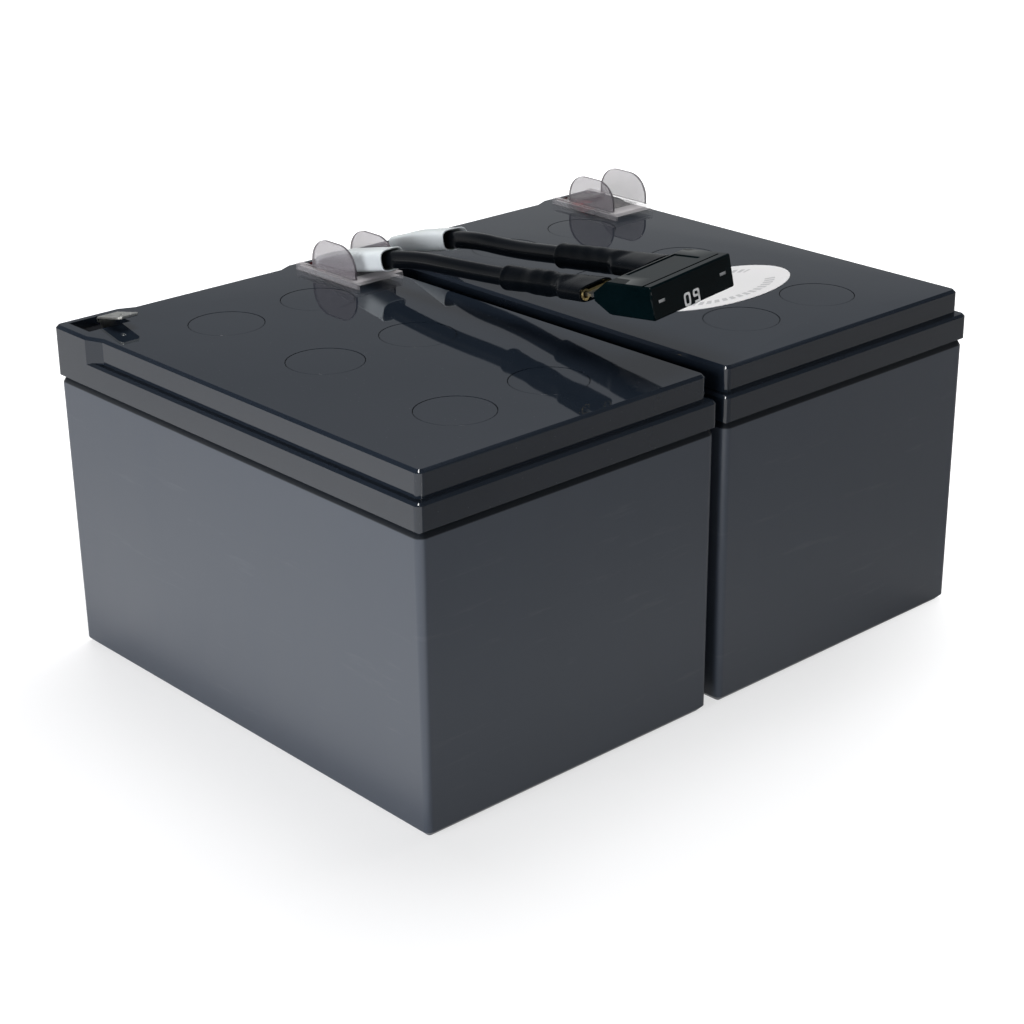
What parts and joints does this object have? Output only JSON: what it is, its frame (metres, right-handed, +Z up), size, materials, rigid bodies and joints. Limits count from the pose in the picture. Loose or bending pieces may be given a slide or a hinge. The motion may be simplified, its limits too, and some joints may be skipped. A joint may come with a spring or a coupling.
{
  "type": "ups battery cartridge",
  "caption": "Replacement battery cartridge: sealed lead-acid blocks taped side by side and joined by a short black fused jumper that runs over their lids.",
  "frame": {"origin": "bottom centre of the footprint of the two blocks, on the surface they stand on", "axes": "+X across the two blocks, from block a to block b; +Y towards the terminal end; +Z up"},
  "size_m": [0.1988, 0.151, 0.1197],
  "materials": {
    "container": "moulded ABS, dark grey, satin",
    "lid": "moulded ABS, dark grey, polished",
    "vent_cap": "moulded ABS, dark grey, polished",
    "positive_plate": "lead grid with lead dioxide paste, dark brown",
    "negative_plate": "lead grid with spongy lead paste, grey",
    "separator": "absorbent glass mat, white",
    "lead_metal": "cast lead, dull grey",
    "tab": "tinned brass strip, satin",
    "negative_seal": "cast epoxy, black",
    "positive_seal": "cast epoxy, red",
    "cover": "moulded polycarbonate, clear",
    "sleeve": "moulded nylon, milky white",
    "contact": "pressed brass, bright",
    "insulation": "extruded PVC on stranded copper, black",
    "shrink": "polyolefin heat-shrink tube, black",
    "fuse_housing": "moulded nylon, dark teal, glossy",
    "fuse_metal": "tinned zinc strip",
    "foam_tape": "closed-cell foam tape, dark",
    "label": "coated paper sticker, white"
  },
  "bodies": {
    "root": {"container_a": "container", "lid_a": "lid", "vent_caps_a": "vent_cap", "positive_plates_a": "positive_plate", "negative_plates_a": "negative_plate", "separators_a": "separator", "cell_straps_a": "lead_metal", "terminal_posts_a": "lead_metal", "negative_tab_a": "tab", "positive_tab_a": "tab", "negative_seal_a": "negative_seal", "positive_seal_a": "positive_seal", "terminal_cover_a": "cover", "tab_receptacle_a": "contact", "nylon_sleeve_a": "sleeve", "fuse_receptacle_a": "contact", "lead_a": "insulation", "heat_shrink_a": "shrink", "container_b": "container", "lid_b": "lid", "vent_caps_b": "vent_cap", "positive_plates_b": "positive_plate", "negative_plates_b": "negative_plate", "separators_b": "separator", "cell_straps_b": "lead_metal", "terminal_posts_b": "lead_metal", "negative_tab_b": "tab", "positive_tab_b": "tab", "negative_seal_b": "negative_seal", "positive_seal_b": "positive_seal", "terminal_cover_b": "cover", "tab_receptacle_b": "contact", "nylon_sleeve_b": "sleeve", "fuse_receptacle_b": "contact", "lead_b": "insulation", "heat_shrink_b": "shrink", "fuse_housing": "fuse_housing", "fuse_element": "fuse_metal", "foam_tape_lower": "foam_tape", "foam_tape_upper": "foam_tape", "oval_label": "label"}
  },
  "joints": []
}
